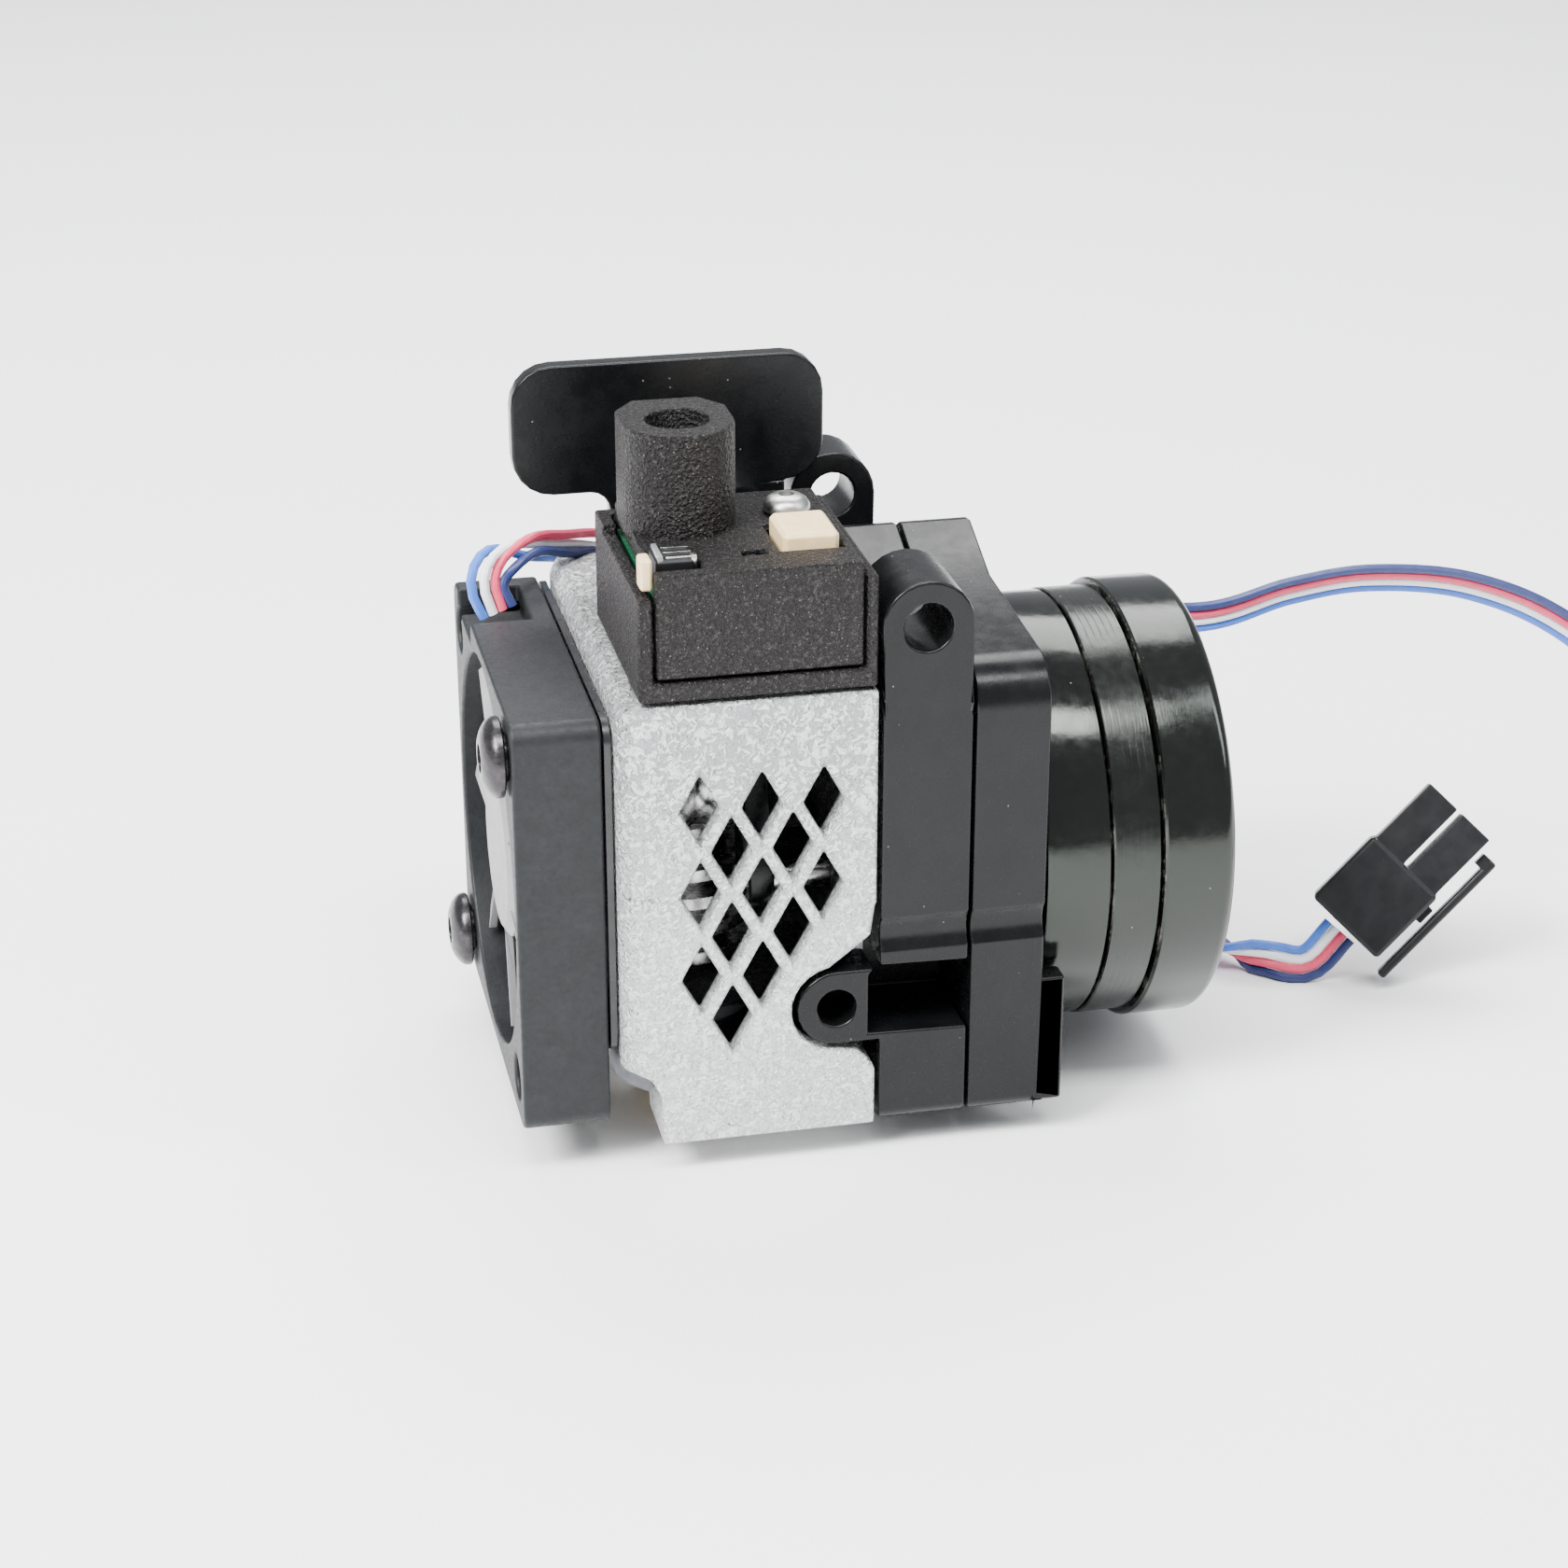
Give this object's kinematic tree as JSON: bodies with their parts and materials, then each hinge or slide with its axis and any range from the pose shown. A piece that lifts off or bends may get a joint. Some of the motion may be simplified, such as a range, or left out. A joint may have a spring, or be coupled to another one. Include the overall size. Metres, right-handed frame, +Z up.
{
  "type": "direct-drive hotend assembly",
  "caption": "Compact direct-drive hotend with a lattice-walled cast heatsink, side fan, geared round motor, filament inlet cap, thumb tab and two flat leads.",
  "frame": {"origin": "under the middle of the assembly without its leads, level with the nozzle tip", "axes": "+X along the motor axis away from the fan, +Y towards the thumb tab's side, away from the lattice wall, +Z up along the filament"},
  "size_m": [0.1163, 0.052, 0.051],
  "materials": {
    "cast_aluminium": "sand-cast texture, shot-blasted satin",
    "moulded_black": "moulded, satin gloss",
    "printed_black": "sintered, grainy matte",
    "fan_black": "moulded, fine texture",
    "rotor_grey": "moulded, satin",
    "black_steel": "black oxide, semi-gloss",
    "steel": "ground",
    "brass": "machined",
    "cream_nylon": "moulded nylon",
    "board_green": "solder mask",
    "ptfe": "waxy",
    "gasket_black": "smooth sheet",
    "ribbon": "insulated wires",
    "shield_grey": "stamped sheet"
  },
  "bodies": {
    "housing": {"heatsink_body": "cast_aluminium", "gearbox_front": "moulded_black", "gearbox_rear": "moulded_black", "sensor_plug": "moulded_black", "lead_grommet": "moulded_black", "motor_plug": "moulded_black", "cap": "printed_black", "cap_cover": "printed_black", "fan_frame": "fan_black", "fan_screw_1": "black_steel", "fan_screw_2": "black_steel", "gearbox_screw_1": "black_steel", "gearbox_screw_2": "black_steel", "gearbox_screw_3": "black_steel", "tension_screw": "black_steel", "motor_front_bell": "black_steel", "motor_stack": "black_steel", "motor_rear_bell": "black_steel", "cold_core": "steel", "drive_bearing_front": "steel", "drive_bearing_rear": "steel", "lever_pin": "steel", "tension_spring": "steel", "cap_screw": "steel", "motor_bearing_front": "steel", "motor_bearing_rear": "steel", "motor_bolt_1": "steel", "motor_bolt_2": "steel", "motor_bolt_3": "steel", "motor_bolt_4": "steel", "nozzle": "brass", "heater_socket": "cream_nylon", "sensor_socket": "cream_nylon", "fan_plug": "cream_nylon", "breakout_board": "board_green", "guide_tube_upper": "ptfe", "guide_tube_lower": "ptfe", "fan_gasket": "gasket_black", "motor_lead": "ribbon", "fan_lead": "ribbon", "heater_sleeve": "shield_grey", "heater_shield": "shield_grey"},
    "fan_rotor": {"fan_rotor": "rotor_grey"},
    "drive_train": {"drive_shaft": "steel", "drive_wheel": "steel", "reduction_gear": "brass"},
    "motor_train": {"motor_shaft": "steel", "motor_rotor": "steel", "pinion_gear": "brass"},
    "lever": {"tension_lever": "moulded_black", "idler_pin": "steel"},
    "idler": {"idler_wheel": "steel"},
    "latch": {"plug_latch": "moulded_black"}
  },
  "joints": [
    {"name": "fan_spin", "type": "hinge", "parent": "housing", "child": "fan_rotor", "pos_m": [-0.0211, 0, 0.0185], "axis": [1, 0, 0], "continuous": true},
    {"name": "motor_spin", "type": "hinge", "parent": "housing", "child": "motor_train", "pos_m": [0.019, 0, 0.0183], "axis": [1, 0, 0], "continuous": true},
    {"name": "drive_spin", "type": "hinge", "parent": "housing", "child": "drive_train", "pos_m": [-0.01115, -0.0021, 0.02685], "axis": [1, 0, 0], "continuous": true},
    {"name": "lever_press", "type": "hinge", "parent": "housing", "child": "lever", "pos_m": [-0.0073, -0.012, 0.02], "axis": [1, 0, 0], "range_deg": [0, 6], "stiffness_Nm_per_rad": 0.5, "springref_deg": -5.73, "deforming": ["tension_spring"]},
    {"name": "idler_spin", "type": "hinge", "parent": "lever", "child": "idler", "pos_m": [-0.01115, -0.0099, 0.02685], "axis": [1, 0, 0], "continuous": true},
    {"name": "latch_press", "type": "hinge", "parent": "housing", "child": "latch", "pos_m": [0.04823, 0.00052, 0.00516], "axis": [0.3552, 0.8542, -0.3796], "range_deg": [0, 4], "stiffness_Nm_per_rad": 0.02}
  ],
  "couplings": [
    {"joint": "drive_spin", "follows": "motor_spin", "ratio": -0.375},
    {"joint": "idler_spin", "follows": "motor_spin", "ratio": 0.375}
  ]
}
